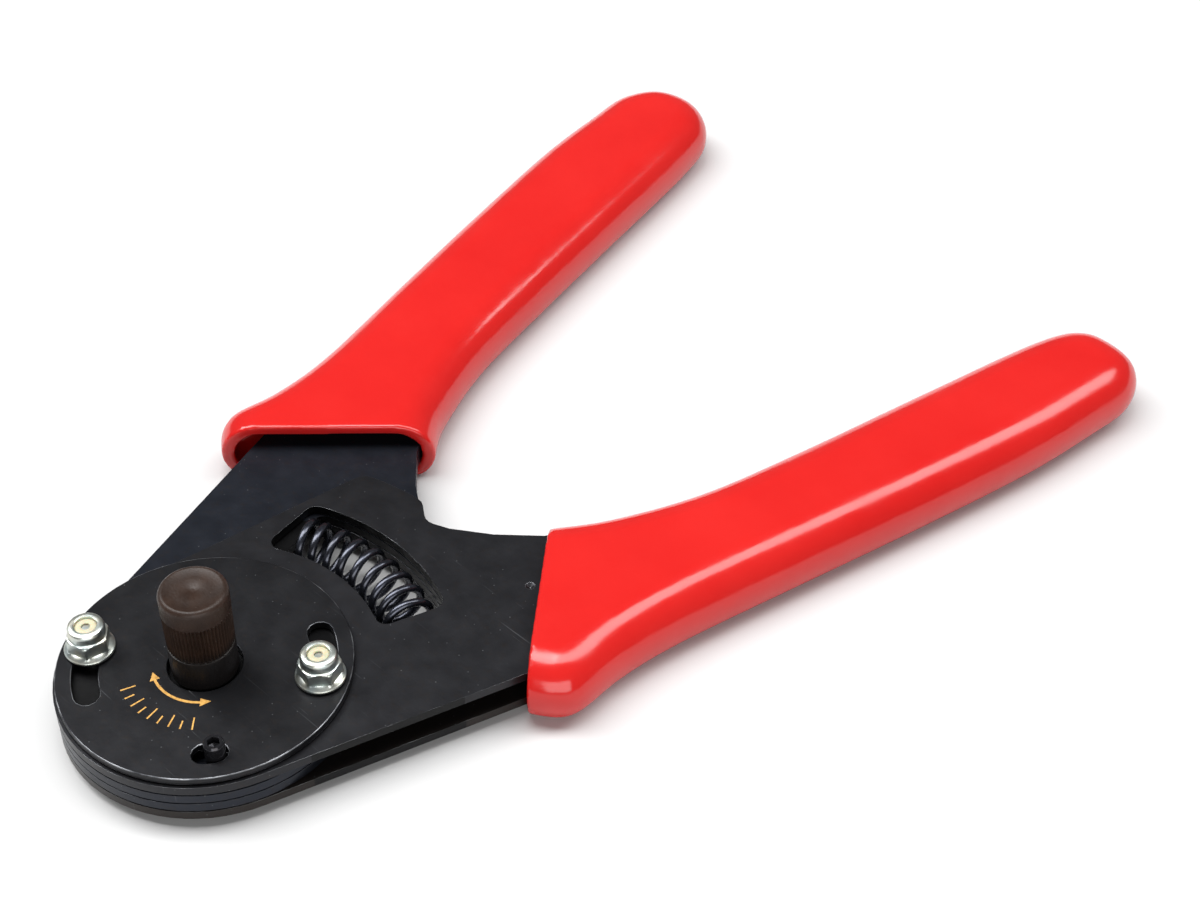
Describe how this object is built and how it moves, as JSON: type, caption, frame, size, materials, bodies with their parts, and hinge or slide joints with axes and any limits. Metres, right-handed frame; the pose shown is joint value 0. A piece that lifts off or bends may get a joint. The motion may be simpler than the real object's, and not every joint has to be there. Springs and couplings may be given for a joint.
{
  "type": "crimping tool",
  "caption": "Hand crimping tool with stacked steel plates, four indenters at the pivot, a screwed depth knob, a slotted disc and dipped grips, lying flat with its handles open.",
  "frame": {"origin": "centre of the bounding box, on the surface that the open tool lies on", "axes": "+Y from the head towards the grips along the line that halves the open handles, +X towards the fixed handle, +Z along the pivot towards the knob"},
  "size_m": [0.146, 0.2168, 0.0306],
  "materials": {
    "plate_steel": "black oxide, semi-gloss",
    "grip_pvc": "dipped, glossy",
    "zinc": "bright zinc plate",
    "nylon": "natural nylon",
    "knob_resin": "satin",
    "tool_steel": "ground",
    "spring_steel": "oiled black"
  },
  "bodies": {
    "frame": {"outer_plate_top": "plate_steel", "outer_plate_bottom": "plate_steel", "frame_grip": "grip_pvc", "stud_left": "zinc", "stud_right": "zinc", "nut_left": "zinc", "nut_right": "zinc", "nut_insert_left": "nylon", "nut_insert_right": "nylon", "guide_body": "tool_steel", "guide_cap": "tool_steel", "guide_dowel_1": "tool_steel", "guide_dowel_2": "tool_steel", "indenter_return_ring": "spring_steel", "return_spring": "spring_steel", "handle_spacer_1": "tool_steel", "handle_spacer_2": "tool_steel", "frame_rivet_1": "tool_steel", "frame_rivet_2": "tool_steel"},
    "moving_handle": {"inner_plate_top": "plate_steel", "inner_plate_bottom": "plate_steel", "moving_grip": "grip_pvc", "moving_rivet_1": "tool_steel", "moving_rivet_2": "tool_steel", "drive_screw": "plate_steel"},
    "disc": {"adjuster_disc": "plate_steel"},
    "indenter_1": {"indenter_1": "tool_steel"},
    "indenter_2": {"indenter_2": "tool_steel"},
    "indenter_3": {"indenter_3": "tool_steel"},
    "indenter_4": {"indenter_4": "tool_steel"},
    "locator": {"locator_stop": "tool_steel"},
    "knob": {"knob": "knob_resin"}
  },
  "joints": [
    {"name": "handle_pivot", "type": "hinge", "parent": "frame", "child": "moving_handle", "pos_m": [0.00226, -0.08196, 0], "axis": [0, 0, 1], "range_deg": [-25, 0], "stiffness_Nm_per_rad": 2, "springref_deg": 20.05, "deforming": ["return_spring"]},
    {"name": "disc_setting", "type": "hinge", "parent": "moving_handle", "child": "disc", "pos_m": [0.00226, -0.08196, 0], "axis": [0, 0, 1], "range_deg": [0, 5]},
    {"name": "indenter_1_slide", "type": "slide", "parent": "frame", "child": "indenter_1", "axis": [-1, 0, 0], "range_m": [0, 0.00165]},
    {"name": "indenter_2_slide", "type": "slide", "parent": "frame", "child": "indenter_2", "axis": [0, -1, 0], "range_m": [0, 0.00165]},
    {"name": "indenter_3_slide", "type": "slide", "parent": "frame", "child": "indenter_3", "axis": [1, 0, 0], "range_m": [0, 0.00165]},
    {"name": "indenter_4_slide", "type": "slide", "parent": "frame", "child": "indenter_4", "axis": [0, 1, 0], "range_m": [0, 0.00165]},
    {"name": "locator_depth", "type": "slide", "parent": "frame", "child": "locator", "axis": [0, 0, 1], "range_m": [0, 0.003]},
    {"name": "knob_turn", "type": "hinge", "parent": "locator", "child": "knob", "pos_m": [0.00226, -0.08196, 0], "axis": [0, 0, 1], "range_deg": [0, 1100]}
  ],
  "couplings": [
    {"joint": "indenter_1_slide", "follows": "handle_pivot", "m_per_rad": -0.003667},
    {"joint": "indenter_2_slide", "follows": "handle_pivot", "m_per_rad": -0.003667},
    {"joint": "indenter_3_slide", "follows": "handle_pivot", "m_per_rad": -0.003667},
    {"joint": "indenter_4_slide", "follows": "handle_pivot", "m_per_rad": -0.003667},
    {"joint": "knob_turn", "follows": "locator_depth", "rad_per_m": 6283.2}
  ]
}
